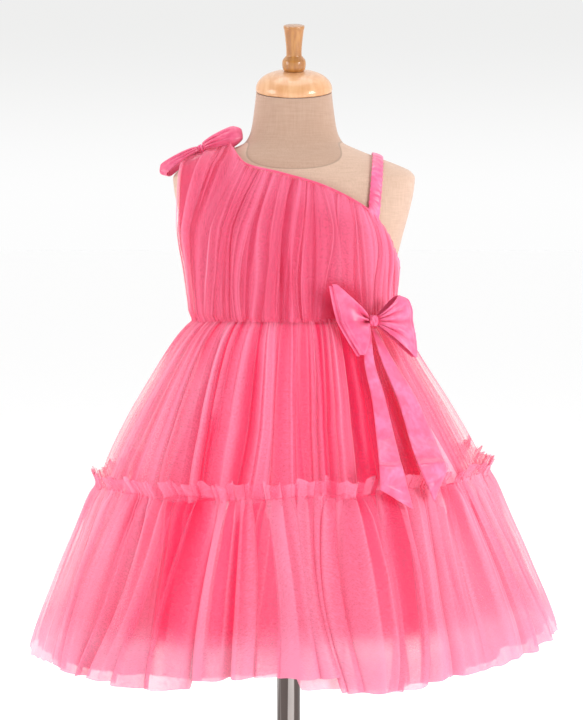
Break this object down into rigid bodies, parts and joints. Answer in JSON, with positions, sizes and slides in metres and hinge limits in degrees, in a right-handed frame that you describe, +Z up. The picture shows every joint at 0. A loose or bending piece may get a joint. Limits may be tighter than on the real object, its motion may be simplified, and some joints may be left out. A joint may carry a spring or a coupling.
{
  "type": "toddler party dress on a child dress form stand",
  "caption": "Pink one-shoulder toddler party dress with a gathered tulle bodice, a tiered tulle skirt and satin bows, shown on a limbless dress form on a pole stand.",
  "frame": {"origin": "middle of the whole object's outline seen from above, on the floor under the stand's foot", "axes": "+Z up, the dress faces -Y, +X to the viewer's right"},
  "size_m": [0.4955, 0.4783, 0.8226],
  "materials": {
    "linen_cover": "plain beige weave",
    "turned_wood": "clear gloss varnish",
    "chromed_steel": "polished",
    "plated_foot": "polished",
    "tulle_bodice": "gathered net over satin",
    "tulle_skirt": "soft translucent net",
    "lining_satin": "plain satin",
    "satin_ribbon": "satin with a soft sheen"
  },
  "bodies": {
    "root": {"form_torso": "linen_cover", "neck_cap": "turned_wood", "neck_finial": "turned_wood", "stand_pole": "chromed_steel", "stand_flange": "chromed_steel", "stand_foot": "plated_foot", "bodice_front": "tulle_bodice", "bodice_back": "tulle_bodice", "neck_binding_front": "satin_ribbon", "neck_binding_back": "satin_ribbon", "shoulder_strap": "satin_ribbon", "shoulder_bow_left_loop": "satin_ribbon", "shoulder_bow_right_loop": "satin_ribbon", "shoulder_bow_knot": "satin_ribbon", "waist_bow_left_loop": "satin_ribbon", "waist_bow_right_loop": "satin_ribbon", "waist_bow_knot": "satin_ribbon", "waist_bow_tail_left": "satin_ribbon", "waist_bow_tail_right": "satin_ribbon", "skirt_upper_front": "tulle_skirt", "skirt_upper_back": "tulle_skirt", "skirt_lower_front": "tulle_skirt", "skirt_lower_back": "tulle_skirt", "skirt_lining_front": "lining_satin", "skirt_lining_back": "lining_satin"}
  },
  "joints": []
}
